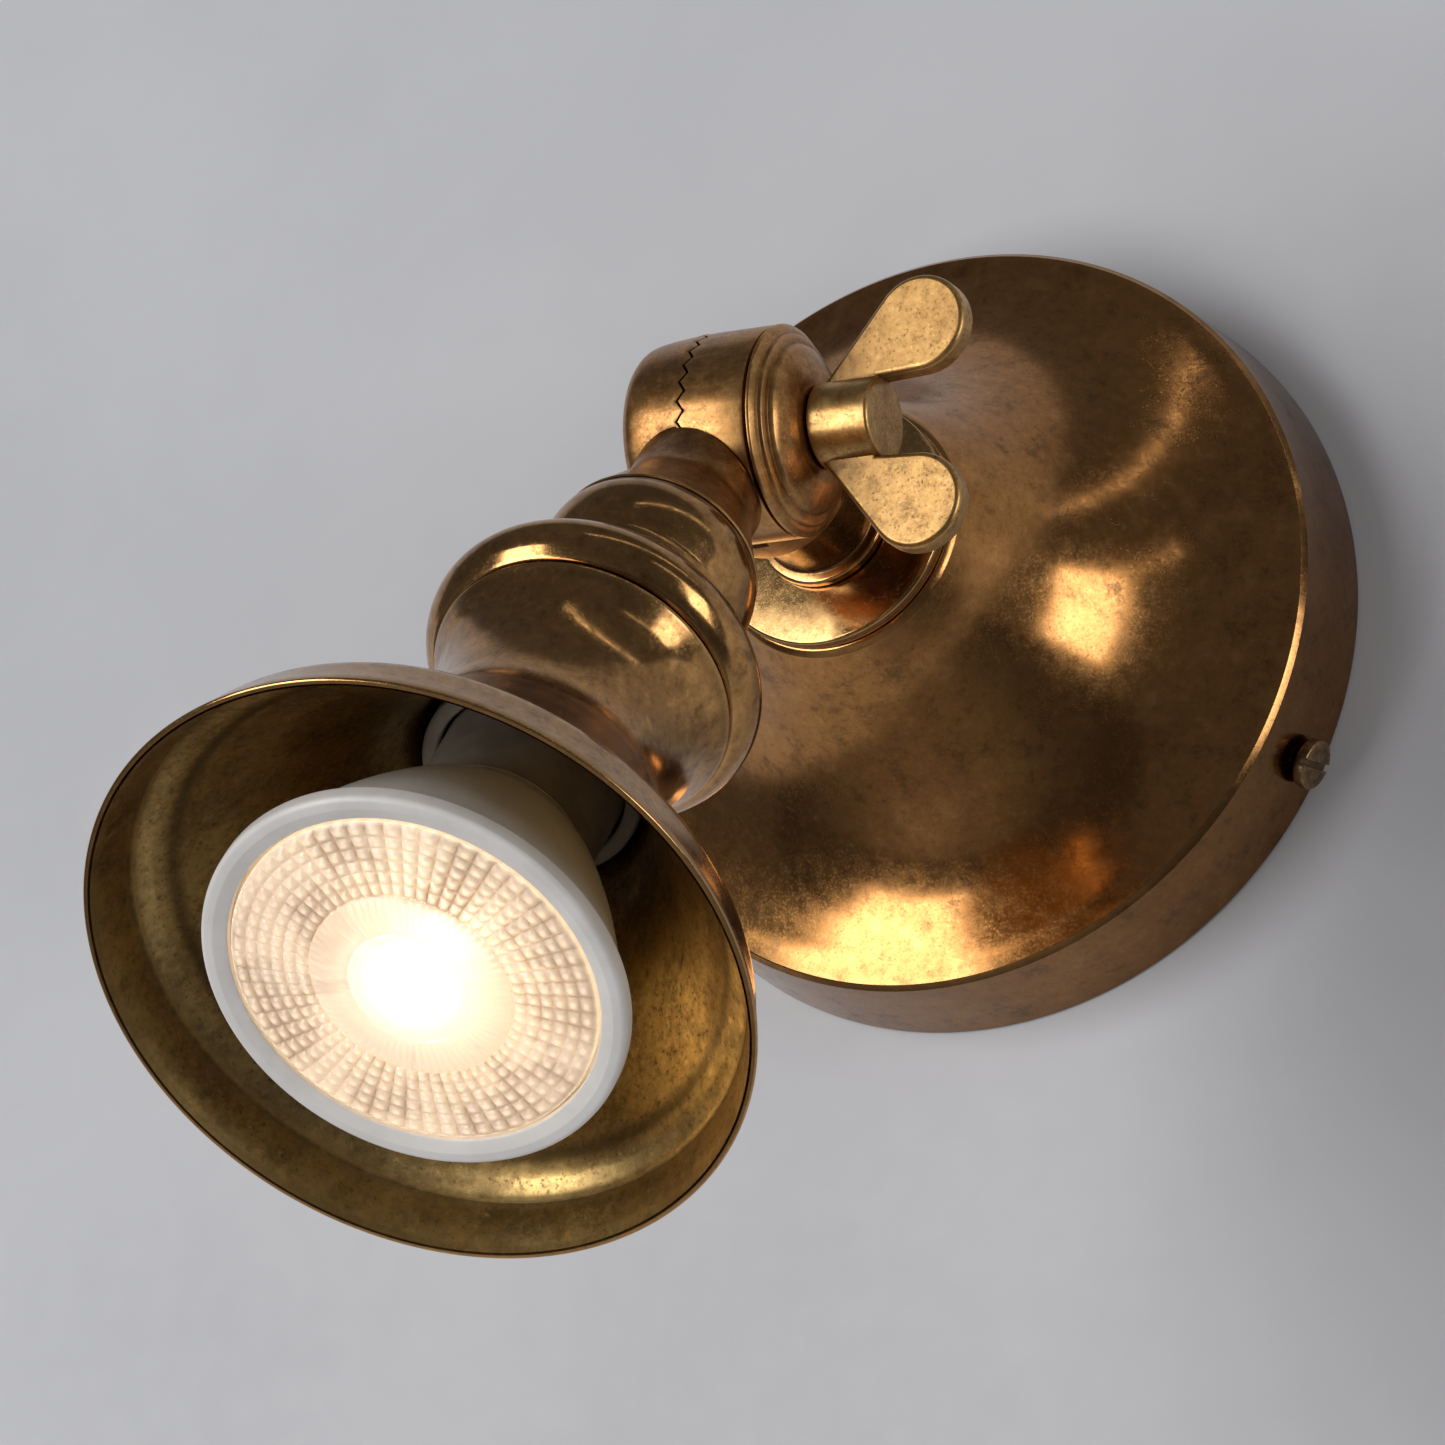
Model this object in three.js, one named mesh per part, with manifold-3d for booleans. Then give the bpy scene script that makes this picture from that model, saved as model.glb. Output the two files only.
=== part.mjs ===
// Brass picture light: a bell-shaped wall rose, a toothed knuckle joint clamped by a wing nut,
// and a flared spot head that holds a 50 mm twist-lock lamp.
// Millimetres, +Z up. The origin is the middle of the rose's back, on the wall plane Y = 0.
// +Y points into the wall, and the light stands out from it along -Y.

import * as THREE from 'three';
import { mergeVertices } from 'three/addons/utils/BufferGeometryUtils.js';
import Module from 'manifold-3d';

const wasm = await Module();
wasm.setup();

// ---- driving dimensions -------------------------------------------------------------

const FIT = 0.3; // clearance left between touching pieces

const ROSE = { rimRadius: 50, wallRadius: 51.2, rimHeight: 14.5, height: 46.5, sheet: 1.2 };
const COLLAR = { radius: 16.2, thickness: 1.9 };
const STEM = { radius: 7.4, footRadius: 8.8, footHeight: 1.3 };
const NIPPLE = { radius: 4.8, bore: 3.4 };

const KNUCKLE = { reach: 77.2, drop: 0.3, seam: 0.8, radius: 12.95, cavity: 10.3 };
const BOSS = { radius: 10, end: 62 };
const BOLT = { radius: 2.4, headRadius: 4.6 };
const CAP = { start: 9.45, radius: 13.0 };
const NUT = { start: 13.8, end: 21.9, radius: 5.25, turn: 4 };
const WING = { centre: 26.65, rise: 11.2, tipRadius: 6, thickness: 3.2 };

const HEAD = { below: 53.9, x: 0.8 }; // degrees below horizontal, and the axis place along X
const BALL = { start: 27.9, end: 37.7 };
const SHADE = { start: 54.4, rim: 110.1, rimRadius: 39.4, sheet: 0.9 };
const HOLDER = { start: 44.2, seat: 57, end: 72.3, radius: 13.2, skirtRadius: 11.3, screwOffset: 8.2 };
const LAMP = { start: 57.4, waist: 85, shoulder: 109.2, front: 111.6, radius: 24.9, baseRadius: 10.9 };
const PIN = { offset: 5, headRadius: 2.4, shankRadius: 1.25 };
const SIDE_SCREW = { turn: 24.6, height: 4.6, headRadius: 3.2, headStart: 51.7, headEnd: 53.3 };
const BRACKET = { width: 14, thickness: 1.6, tabRadius: 44.2, tabHeight: 9 };
const WALL_SLOT = { centre: 34, length: 11, width: 5.6 };

const ROUND = 32; // flats round a large turned piece
const MIDDLE = 24; // round a middling one
const SMALL = 16; // and round a small one

const rad = THREE.MathUtils.degToRad;

// ---- materials ----------------------------------------------------------------------

const metal = (color, roughness) => new THREE.MeshStandardMaterial({ color, roughness, metalness: 1 });
const plain = (color, roughness) => new THREE.MeshStandardMaterial({ color, roughness, metalness: 0 });

const agedBrass = () => metal(0x8a6a44, 0.42);
const wornBrass = () => metal(0xb08a55, 0.4);
const steel = () => metal(0x9a9a98, 0.35);

// ---- solid helpers ------------------------------------------------------------------

function outward(geometry) {
  const plainGeometry = geometry.index ? geometry : mergeVertices(geometry);
  const p = plainGeometry.attributes.position;
  const index = Array.from(plainGeometry.index.array);
  const a = new THREE.Vector3();
  const b = new THREE.Vector3();
  const c = new THREE.Vector3();
  let volume = 0;
  for (let i = 0; i < index.length; i += 3) {
    a.fromBufferAttribute(p, index[i]);
    b.fromBufferAttribute(p, index[i + 1]);
    c.fromBufferAttribute(p, index[i + 2]);
    volume += a.dot(b.cross(c));
  }
  if (volume < 0) {
    for (let i = 0; i < index.length; i += 3) {
      [index[i + 1], index[i + 2]] = [index[i + 2], index[i + 1]];
    }
    plainGeometry.setIndex(index);
  }
  return plainGeometry;
}

function welded(geometry) {
  const bare = geometry.clone();
  bare.deleteAttribute('normal');
  bare.deleteAttribute('uv');
  return outward(mergeVertices(bare, 1e-4));
}

// A turned piece about its local Y axis. Profile points are [radius, distance along Y];
// the outline either starts and ends on the axis, or is closed here.
function turned(profile, flats = ROUND) {
  const points = profile.map(([r, y]) => new THREE.Vector2(r, y));
  const first = points[0];
  const last = points[points.length - 1];
  if (first.x > 0 || last.x > 0) {
    points.push(first.clone());
  }
  const geometry = welded(new THREE.LatheGeometry(points, flats));
  return dropFlatTriangles(geometry);
}

function dropFlatTriangles(geometry) {
  const index = geometry.index.array;
  const kept = [];
  for (let i = 0; i < index.length; i += 3) {
    const [a, b, c] = [index[i], index[i + 1], index[i + 2]];
    if (a !== b && b !== c && a !== c) {
      kept.push(a, b, c);
    }
  }
  geometry.setIndex(kept);
  return geometry;
}

function toSolid(geometry) {
  const bare = welded(geometry);
  const mesh = new wasm.Mesh({
    numProp: 3,
    vertProperties: new Float32Array(bare.attributes.position.array),
    triVerts: new Uint32Array(bare.index.array),
  });
  return new wasm.Manifold(mesh);
}

function fromSolid(solid) {
  const mesh = solid.getMesh();
  const geometry = new THREE.BufferGeometry();
  geometry.setAttribute('position', new THREE.BufferAttribute(new Float32Array(mesh.vertProperties), 3));
  geometry.setIndex(Array.from(mesh.triVerts));
  return geometry;
}

function combine(base, { add = [], cut = [] }) {
  let solid = toSolid(base);
  for (const geometry of add) {
    solid = solid.add(toSolid(geometry));
  }
  for (const geometry of cut) {
    solid = solid.subtract(toSolid(geometry));
  }
  return fromSolid(solid);
}

// A plain rod along local Y from y0 to y1.
function rod(radius, y0, y1, flats = SMALL) {
  return turned([[0, y0], [radius, y0], [radius, y1], [0, y1]], flats);
}

function ring(inner, outer, y0, y1, flats = SMALL) {
  return turned([[inner, y0], [outer, y0], [outer, y1], [inner, y1]], flats);
}

function block(x0, x1, y0, y1, z0, z1) {
  const geometry = new THREE.BoxGeometry(x1 - x0, y1 - y0, z1 - z0);
  return geometry.translate((x0 + x1) / 2, (y0 + y1) / 2, (z0 + z1) / 2);
}

// The closed outline of a spun sheet: the outer line, then the same line set in by the sheet.
function sheetOutline(outer, sheet) {
  const inner = outer.map(([r, y], i) => {
    const [r0, y0] = outer[Math.max(i - 1, 0)];
    const [r1, y1] = outer[Math.min(i + 1, outer.length - 1)];
    const length = Math.hypot(r1 - r0, y1 - y0);
    return [r - (sheet * (y1 - y0)) / length, y + (sheet * (r1 - r0)) / length];
  });
  return [...outer, ...inner.reverse()];
}

function hexRod(acrossFlats, y0, y1) {
  return turned([[0, y0], [acrossFlats / Math.sqrt(3), y0], [acrossFlats / Math.sqrt(3), y1], [0, y1]], 6);
}

function wire(points, radius, steps) {
  const outline = new THREE.Shape();
  outline.absarc(0, 0, radius, 0, Math.PI * 2, false);
  const path = new THREE.CatmullRomCurve3(points.map((p) => new THREE.Vector3(...p)));
  return new THREE.ExtrudeGeometry(outline, {
    steps,
    curveSegments: 4,
    bevelEnabled: false,
    extrudePath: path,
  });
}

// ---- assembly frames ----------------------------------------------------------------

const light = new THREE.Group();

// Rose frame: local Y runs straight out from the wall.
const rose = new THREE.Group();
rose.rotation.x = Math.PI;
light.add(rose);

// Bracket frame: the rose frame, turned so that local X runs through the two side screws.
const bracket = new THREE.Group();
bracket.rotation.y = -rad(SIDE_SCREW.turn);
rose.add(bracket);

// Knuckle frame: local Y runs along the joint's axis, to the light's +X side.
const knuckle = new THREE.Group();
knuckle.position.set(0, -KNUCKLE.reach, -KNUCKLE.drop);
knuckle.rotation.z = -Math.PI / 2;
light.add(knuckle);

// Head frame: local Y runs from the joint's axis out through the lamp.
const head = new THREE.Group();
head.position.set(HEAD.x, -KNUCKLE.reach, -KNUCKLE.drop);
head.rotation.x = Math.PI + rad(HEAD.below);
light.add(head);

function part(frame, name, geometry, material) {
  const mesh = new THREE.Mesh(geometry, material);
  mesh.name = name;
  frame.add(mesh);
  return mesh;
}

// Moves a geometry written in one frame into another, for cuts that cross frames.
function carry(geometry, from, to) {
  light.updateMatrixWorld(true);
  const matrix = to.matrixWorld.clone().invert().multiply(from.matrixWorld);
  return geometry.clone().applyMatrix4(matrix);
}

// ---- wall rose ----------------------------------------------------------------------

function roseBell() {
  const { rimRadius, wallRadius, rimHeight, height, sheet } = ROSE;
  const outer = [
    [wallRadius, 0],
    [rimRadius + 0.1, rimHeight - 0.7],
    [rimRadius - 0.5, rimHeight],
    [45.5, 15.9],
    [40, 18.4],
    [34.5, 22],
    [29.5, 26.6],
    [25, 32],
    [21.4, 37.6],
    [18.6, 42.8],
    [16.8, height - 0.6],
    [15.2, height],
    [5.2, height],
  ];
  const bell = turned(sheetOutline(outer, sheet));
  const holes = [0, Math.PI].map((turn) => {
    const drill = rod(2.3, 46, 54).rotateZ(-Math.PI / 2).translate(0, SIDE_SCREW.height, 0);
    return drill.rotateY(turn - rad(SIDE_SCREW.turn));
  });
  return combine(bell, { cut: holes });
}

part(rose, 'rose_bell', roseBell(), agedBrass());

function wallBracket() {
  const { width, thickness, tabRadius, tabHeight } = BRACKET;
  const half = width / 2;
  const strip = block(-tabRadius, tabRadius, 0, thickness, -half, half);
  const tabs = [-1, 1].map((side) => {
    const near = tabRadius - thickness;
    return block(Math.min(side * near, side * tabRadius), Math.max(side * near, side * tabRadius),
      0, tabHeight, -half, half);
  });
  const tabHole = rod(2.2, -60, 60).rotateZ(-Math.PI / 2).translate(0, SIDE_SCREW.height, 0);
  const slots = [-1, 1].map((side) => {
    const centre = side * WALL_SLOT.centre;
    const halfLength = WALL_SLOT.length / 2;
    const halfWidth = WALL_SLOT.width / 2;
    return block(centre - halfLength, centre + halfLength, -1, thickness + 1, -halfWidth, halfWidth);
  });
  const earthHole = rod(1.9, -1, 3).translate(20, 0, 0);
  return combine(strip, { add: tabs, cut: [tabHole, ...slots, earthHole] });
}

part(bracket, 'wall_bracket', wallBracket(), steel());

function sideScrew() {
  const { height, headRadius, headStart, headEnd } = SIDE_SCREW;
  const body = turned([
    [0, 41.4],
    [1.8, 41.8],
    [1.8, headStart],
    [headRadius, headStart],
    [headRadius, headEnd - 0.3],
    [headRadius - 0.3, headEnd],
    [0, headEnd],
  ], SMALL);
  const slot = block(-4, 4, headEnd - 0.8, headEnd + 1, -0.45, 0.45);
  const screw = combine(body, { cut: [slot] });
  return screw.rotateY(rad(12)).rotateZ(-Math.PI / 2).translate(0, height, 0);
}

['right', 'left'].forEach((side, i) => {
  const screw = part(bracket, `side_screw_${side}`, sideScrew(), agedBrass());
  screw.rotation.y = i * Math.PI;
});

// Terminal block on the bracket, one way for each core, with its three clamping screws.
const TERMINAL = { x: -17, width: 21, depth: 9, bottom: 1.9, top: 11.4, pitch: 6.4 };
const wayOffset = (way) => TERMINAL.x + (way - 1) * TERMINAL.pitch;

function terminalBlock() {
  const { x, width, depth, bottom, top } = TERMINAL;
  const body = block(x - width / 2, x + width / 2, bottom, top, -depth / 2, depth / 2);
  const cuts = [];
  for (let way = 0; way < 3; way += 1) {
    cuts.push(rod(1.5, -8, 8).rotateX(Math.PI / 2).translate(wayOffset(way), 5.2, 0));
    cuts.push(rod(1.75, 4.4, 14).translate(wayOffset(way), 0, 0));
  }
  return combine(body, { cut: cuts });
}

part(bracket, 'terminal_block', terminalBlock(), plain(0xe9e6dc, 0.55));

['live', 'earth', 'neutral'].forEach((core, way) => {
  const slot = block(-2, 2, 10.3, 12, -0.25, 0.25);
  const screw = combine(rod(1.45, 7.2, 11), { cut: [slot] });
  part(bracket, `terminal_screw_${core}`, screw.translate(wayOffset(way), 0, 0), metal(0xb9a06a, 0.4));
});

function earthScrew() {
  const body = turned([
    [0, 0.2],
    [1.6, 0.2],
    [1.6, 2.7],
    [3.4, 2.7],
    [3.1, 4.2],
    [2.2, 4.7],
    [0, 4.8],
  ], SMALL);
  return combine(body, { cut: [block(-4, 4, 3.9, 6, -0.4, 0.4)] });
}

part(bracket, 'earth_screw', earthScrew().translate(20, 0, 0), steel());
part(bracket, 'earth_tag', ring(1.9, 3.6, 1.75, 2.45).translate(20, 0, 0), metal(0xb9a06a, 0.4));

function earthWire() {
  const start = wayOffset(1);
  const points = [
    [start, 5.2, 5.2],
    [start + 3, 5.6, 8],
    [start + 14, 6.4, 8.6],
    [14, 5.4, 7.8],
    [20, 3, 5.1],
  ];
  return wire(points, 0.8, 10);
}

part(bracket, 'earth_wire', earthWire(), plain(0x6f8f3a, 0.6));

// ---- collar, stem and the threaded tube that clamps them to the bell -----------------

const COLLAR_FRONT = ROSE.height + FIT + COLLAR.thickness;

function collar() {
  const base = ROSE.height + FIT;
  const { radius } = COLLAR;
  return turned([
    [5.1, base],
    [radius - 0.3, base],
    [radius, base + 0.3],
    [radius, COLLAR_FRONT - 0.3],
    [radius - 0.3, COLLAR_FRONT],
    [5.1, COLLAR_FRONT],
  ]);
}

part(rose, 'rose_collar', collar(), wornBrass());

const STEM_START = COLLAR_FRONT + FIT;

function stemTube() {
  const { radius, footRadius, footHeight } = STEM;
  const end = BOSS.end - FIT;
  return turned([
    [5.1, STEM_START],
    [footRadius, STEM_START],
    [footRadius, STEM_START + footHeight - 0.3],
    [footRadius - 0.3, STEM_START + footHeight],
    [radius, STEM_START + footHeight],
    [radius, end],
    [NIPPLE.bore, end],
    [NIPPLE.bore, 57.9],
    [5.1, 57.9],
  ], MIDDLE);
}

part(rose, 'stem_tube', stemTube(), agedBrass());
part(rose, 'stem_nipple', ring(NIPPLE.bore, NIPPLE.radius, 37.5, 57.6), metal(0xb9a06a, 0.4));

const BELL_INSIDE = ROSE.height - ROSE.sheet;
part(rose, 'stem_lock_washer', ring(5.1, 8.6, BELL_INSIDE - 1.3, BELL_INSIDE - 0.3), steel());

function lockNut(y0, y1, acrossFlats) {
  return combine(hexRod(acrossFlats, y0, y1), { cut: [rod(5.1, y0 - 1, y1 + 1)] });
}

part(rose, 'stem_lock_nut', lockNut(BELL_INSIDE - 4.6, BELL_INSIDE - 1.6, 14), metal(0xb9a06a, 0.4));

// ---- knuckle joint ------------------------------------------------------------------

const SEAM_BASE = KNUCKLE.seam + FIT / 2;
const SEAM_HEAD = KNUCKLE.seam - FIT / 2;
const BASE_END = CAP.start - FIT;

function knuckleBase() {
  const { radius, cavity } = KNUCKLE;
  const barrel = rod(radius, SEAM_BASE, BASE_END, ROUND);
  const hollow = rod(cavity, SEAM_BASE - 1, 7.2, MIDDLE);
  const boltHole = rod(2.7, 6, 12);
  const bossOutline = [
    [0, BOSS.end],
    [BOSS.radius - 0.6, BOSS.end],
    [BOSS.radius, BOSS.end + 0.6],
    [BOSS.radius, KNUCKLE.reach - 4],
    [0, KNUCKLE.reach - 4],
  ];
  const boss = carry(turned(bossOutline, MIDDLE), rose, knuckle);
  const wireWay = carry(rod(4, BOSS.end - 2, KNUCKLE.reach - 8).translate(1.6, 0, 0), rose, knuckle);
  const headRoom = rod(radius + 0.5, -16, SEAM_BASE, ROUND);
  const capRoom = rod(radius + 0.5, BASE_END, 30, ROUND);
  return combine(barrel, { add: [boss], cut: [headRoom, capRoom, hollow, boltHole, wireWay] });
}

part(knuckle, 'knuckle_base', knuckleBase(), agedBrass());

function neckOutline() {
  return [
    [0, 6],
    [8.3, 6],
    [8.4, 16.5],
    [9.3, 19.5],
    [10.7, 23],
    [12, 26],
    [12.7, BALL.start - FIT],
    [0, BALL.start - FIT],
  ];
}

function knuckleHead() {
  const { radius, cavity } = KNUCKLE;
  const barrel = turned([
    [0, -8],
    [10.4, -8],
    [11.4, -7.5],
    [12.1, -6.5],
    [12.5, -4.6],
    [radius, SEAM_HEAD],
    [0, SEAM_HEAD],
  ]);
  const neck = carry(turned(neckOutline(), MIDDLE), head, knuckle);
  const baseRoom = rod(radius + 0.5, SEAM_HEAD, 14, ROUND);
  const hollow = rod(cavity, -4.2, SEAM_HEAD + 1, MIDDLE);
  const wireWay = carry(rod(5.1, 5, 30), head, knuckle);
  const boltRecess = hexRod(2 * BOLT.headRadius + 0.5, -9, -5.9);
  const coverRecess = rod(9.1, -9, -7.3, MIDDLE);
  const boltHole = rod(2.7, -7, 0);
  return combine(barrel, {
    add: [neck],
    cut: [baseRoom, hollow, wireWay, boltRecess, coverRecess, boltHole],
  });
}

part(knuckle, 'knuckle_head', knuckleHead(), agedBrass());

function clampBolt() {
  const boltHead = hexRod(2 * BOLT.headRadius - 0.2, -7, -6.2);
  return combine(boltHead, { add: [rod(BOLT.radius, -6.4, 20.4)] });
}

part(knuckle, 'clamp_bolt', clampBolt(), steel());

const sideCover = turned([
  [0, -7.35],
  [8.8, -7.35],
  [8.8, -8.1],
  [6.6, -8.5],
  [3.4, -8.72],
  [0, -8.8],
], MIDDLE);
part(knuckle, 'knuckle_side_cover', sideCover, agedBrass());

function pressureCap() {
  const { start, radius } = CAP;
  return turned([
    [2.8, start],
    [radius, start],
    [radius - 0.1, start + 0.4],
    [12.3, start + 0.8],
    [11.8, start + 1.05],
    [11.6, start + 1.5],
    [11, start + 1.75],
    [10.4, start + 1.9],
    [10.2, start + 2.3],
    [9.4, start + 2.9],
    [8.1, start + 3.55],
    [6.5, start + 4.05],
    [2.8, start + 4.05],
  ]);
}

part(knuckle, 'pressure_cap', pressureCap(), agedBrass());

// Where a straight edge from a point touches the wing's round tip, as an angle on that tip.
function touchAngle(x, y, side) {
  const dx = WING.rise - x;
  const dy = WING.centre - y;
  const spread = Math.asin(WING.tipRadius / Math.hypot(dx, dy));
  return Math.atan2(dy, dx) - side * (spread + Math.PI / 2);
}

// One wing, drawn in the plane of the joint's axis (local Y) and the rise away from it.
function wingOutline() {
  const { centre, rise, tipRadius } = WING;
  const inside = 3.4;
  const root = 4.9;
  const near = NUT.start + 0.4;
  const far = NUT.end - 0.6;
  const shape = new THREE.Shape();
  shape.moveTo(inside, near);
  shape.lineTo(root, near);
  shape.absarc(rise, centre, tipRadius, touchAngle(root, near, 1), touchAngle(root, far, -1), false);
  shape.lineTo(root, far);
  shape.lineTo(inside, far);
  return shape;
}

function wing(side) {
  const { thickness } = WING;
  const bevel = 0.45;
  const plate = new THREE.ExtrudeGeometry(wingOutline(), {
    depth: thickness - 2 * bevel,
    bevelEnabled: true,
    bevelThickness: bevel,
    bevelSize: bevel,
    bevelOffset: -bevel,
    bevelSegments: 1,
    curveSegments: 10,
  });
  return plate.translate(0, 0, -thickness / 2 + bevel).rotateY(side * Math.PI);
}

function wingNut() {
  const { start, end, radius } = NUT;
  const boss = turned([
    [0, start],
    [radius - 0.25, start],
    [radius, start + 0.3],
    [radius, end - 0.4],
    [radius - 0.4, end],
    [0, end],
  ], MIDDLE);
  const bore = rod(2.7, start - 1, 20.8);
  const nut = combine(boss, { add: [wing(0), wing(1)], cut: [bore] });
  return nut.rotateY(Math.PI / 2 + rad(NUT.turn));
}

part(knuckle, 'wing_nut', wingNut(), wornBrass());

// ---- head: ball, gallery, shade ------------------------------------------------------

function neckBall() {
  return turned([
    [5.1, BALL.start],
    [12.6, BALL.start],
    [13.1, BALL.start + 1.6],
    [13.2, BALL.start + 3.2],
    [12.9, BALL.start + 5.2],
    [12.2, BALL.start + 7.2],
    [11.6, BALL.start + 8.4],
    [11.6, BALL.end],
    [5.1, BALL.end],
  ], MIDDLE);
}

part(head, 'neck_ball', neckBall(), agedBrass());
part(head, 'head_nipple', ring(NIPPLE.bore, NIPPLE.radius, 21.5, 43.9), metal(0xb9a06a, 0.4));

function gallery() {
  const floor = BALL.end + FIT;
  const end = SHADE.start - FIT;
  return turned([
    [5.1, floor],
    [12, floor],
    [13.8, floor + 2.3],
    [15.9, floor + 5.1],
    [18.1, floor + 7.8],
    [19.7, floor + 10],
    [20.4, floor + 11.6],
    [20.2, floor + 13.3],
    [19.4, floor + 14.9],
    [18.4, end],
    [16.8, end],
    [17.4, floor + 14],
    [17.6, floor + 11.6],
    [16.6, floor + 9],
    [14.4, floor + 5.8],
    [12, floor + 3],
    [11, floor + 2.2],
    [5.1, floor + 2.2],
  ]);
}

part(head, 'gallery', gallery(), agedBrass());
part(head, 'head_lock_nut', lockNut(BALL.end + 2.8, BALL.end + 5.6, 12), metal(0xb9a06a, 0.4));

function shade() {
  const { start, rim, rimRadius, sheet } = SHADE;
  const outer = [
    [18, start],
    [18, start + 0.3],
    [17.2, 56.1],
    [16.3, 58],
    [15.5, 60.5],
    [15, 63],
    [14.8, 66],
    [14.9, 69],
    [15.4, 72],
    [16.3, 75],
    [17.7, 78.1],
    [19.2, 81],
    [21, 84],
    [23, 87],
    [25.3, 90],
    [27.8, 93],
    [30.5, 96],
    [33, 99],
    [34.9, 101],
    [36.2, 102.5],
    [37.4, 104.2],
    [38.2, 106.2],
    [38.8, 108.2],
    [rimRadius, rim],
  ];
  return turned(sheetOutline(outer, sheet));
}

part(head, 'shade', shade(), agedBrass());

// ---- lampholder ---------------------------------------------------------------------

// Solid round the contacts, with a thin skirt on round the neck of the lamp.
function lampholder() {
  const { start, seat, end, radius, skirtRadius, screwOffset } = HOLDER;
  const body = turned([
    [0, start],
    [radius - 1, start],
    [radius, start + 1],
    [radius, end - 0.5],
    [radius - 0.5, end],
    [skirtRadius + 0.4, end],
    [skirtRadius, end - 0.4],
    [skirtRadius, seat],
    [0, seat],
  ], MIDDLE);
  const cuts = [];
  for (const side of [0, Math.PI]) {
    for (let step = 0; step <= 4; step += 1) {
      const angle = side + rad(step * 4);
      const way = rod(PIN.headRadius + 0.4, 46.6, seat + 1);
      cuts.push(way.translate(PIN.offset * Math.cos(angle), 0, -PIN.offset * Math.sin(angle)));
    }
    const screwSide = side === 0 ? 1 : -1;
    cuts.push(rod(1.7, start - 1, seat + 1).translate(0, 0, screwOffset * screwSide));
    cuts.push(rod(3, seat - 2.4, seat + 1).translate(0, 0, screwOffset * screwSide));
  }
  return combine(body, { cut: cuts });
}

part(head, 'lampholder', lampholder(), plain(0xe8e2d2, 0.5));

function holderScrew() {
  const body = turned([[0, 40.7], [1.3, 40.7], [1.3, 54.9], [2.6, 54.9], [2.6, 56.3], [0, 56.7]], SMALL);
  return combine(body, { cut: [block(-3, 3, 55.9, 58, -0.35, 0.35)] });
}

['upper', 'lower'].forEach((place, i) => {
  const side = i === 0 ? -1 : 1;
  part(head, `holder_screw_${place}`, holderScrew().translate(0, 0, HOLDER.screwOffset * side), steel());
  const along = -side;
  const contact = block(along * PIN.offset - 1.8, along * PIN.offset + 1.8, 47, 47.7, -1.1, 1.1);
  part(head, `holder_contact_${place}`, contact, metal(0xb9a06a, 0.4));
});

// ---- lamp ---------------------------------------------------------------------------

function lampBase() {
  const { start, waist, baseRadius } = LAMP;
  return turned([
    [0, start],
    [baseRadius - 1.3, start],
    [baseRadius - 0.3, start + 1],
    [baseRadius, start + 3],
    [baseRadius, waist],
    [0, waist],
  ], MIDDLE);
}

function lampBody() {
  const { waist, shoulder } = LAMP;
  const outer = [
    [11.1, waist + FIT],
    [12.6, 87.7],
    [14.5, 90],
    [16.3, 93.1],
    [18.5, 97],
    [20.8, 101.9],
    [22.3, 106.2],
    [23.1, shoulder - FIT],
  ];
  return turned(sheetOutline(outer, 1.4));
}

function lampFrontRing() {
  const { shoulder, front, radius } = LAMP;
  return turned([
    [22.4, shoulder],
    [radius - 0.4, shoulder],
    [radius, shoulder + 0.4],
    [radius, front - 0.6],
    [radius - 0.6, front],
    [21.8, front],
    [21.8, front - 1.3],
    [22.4, front - 1.8],
  ]);
}

function lampLens() {
  const { front } = LAMP;
  return turned([
    [0, front - 2.2],
    [20.8, front - 2.2],
    [21.4, front - 1.7],
    [21.4, front],
    [19, front + 0.5],
    [12, front + 0.9],
    [0, front + 1.1],
  ]);
}

const lampWhite = () => plain(0xe6e4e0, 0.35);
part(head, 'lamp_base', lampBase(), lampWhite());
part(head, 'lamp_body', lampBody(), lampWhite());
part(head, 'lamp_front_ring', lampFrontRing(), lampWhite());
part(head, 'lamp_lens', lampLens(), plain(0xfff1d8, 0.15));
part(head, 'lamp_led_board', rod(17.4, 100, 101.6, MIDDLE), plain(0xf2f2f0, 0.5));
part(head, 'lamp_led_emitter', rod(6.5, 101.9, 103.1, MIDDLE), plain(0xffe2a0, 0.4));

['left', 'right'].forEach((side, i) => {
  const { headRadius, shankRadius, offset } = PIN;
  const end = LAMP.start - FIT;
  const pin = turned([
    [0, 49.2],
    [headRadius, 49.2],
    [headRadius, 51.6],
    [shankRadius, 51.6],
    [shankRadius, end],
    [0, end],
  ], SMALL);
  part(head, `lamp_pin_${side}`, pin.translate(i === 0 ? -offset : offset, 0, 0), steel());
});

// ---- wiring held inside -------------------------------------------------------------

const FLEX_RADIUS = 1.5;

// Through the rose, the stem and into the joint, ending beside the clamp bolt.
const stemFlex = wire([
  [-10, 12.6, 2.6],
  [-7, 20, 2.4],
  [-2.4, 30, 1],
  [0, 38, 0],
  [0, 50, 0],
  [0.4, 56, 0],
  [1.6, 61, 0],
  [3, 64.5, 0],
  [3.6, 69, 0],
], FLEX_RADIUS, 16);
part(rose, 'supply_flex_stem', stemFlex, plain(0x3a3632, 0.7));

// From beside the bolt, down the neck and through the ball to the lampholder.
const headFlex = wire([
  [-2.5, 6.4, 0],
  [-2.4, 10.5, 0],
  [-2.1, 14.5, 0],
  [-0.8, 19, 0],
  [0, 25, 0],
  [0, 34, 0],
  [0, 43.4, 0],
], FLEX_RADIUS, 10);
part(head, 'supply_flex_head', headFlex, plain(0x3a3632, 0.7));

export default light;
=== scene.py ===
"""Antique brass picture light: the visible surfaces, the studio and the camera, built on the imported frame."""

import math

import bmesh
import bpy
from mathutils import Matrix, Vector, kdtree


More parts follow.
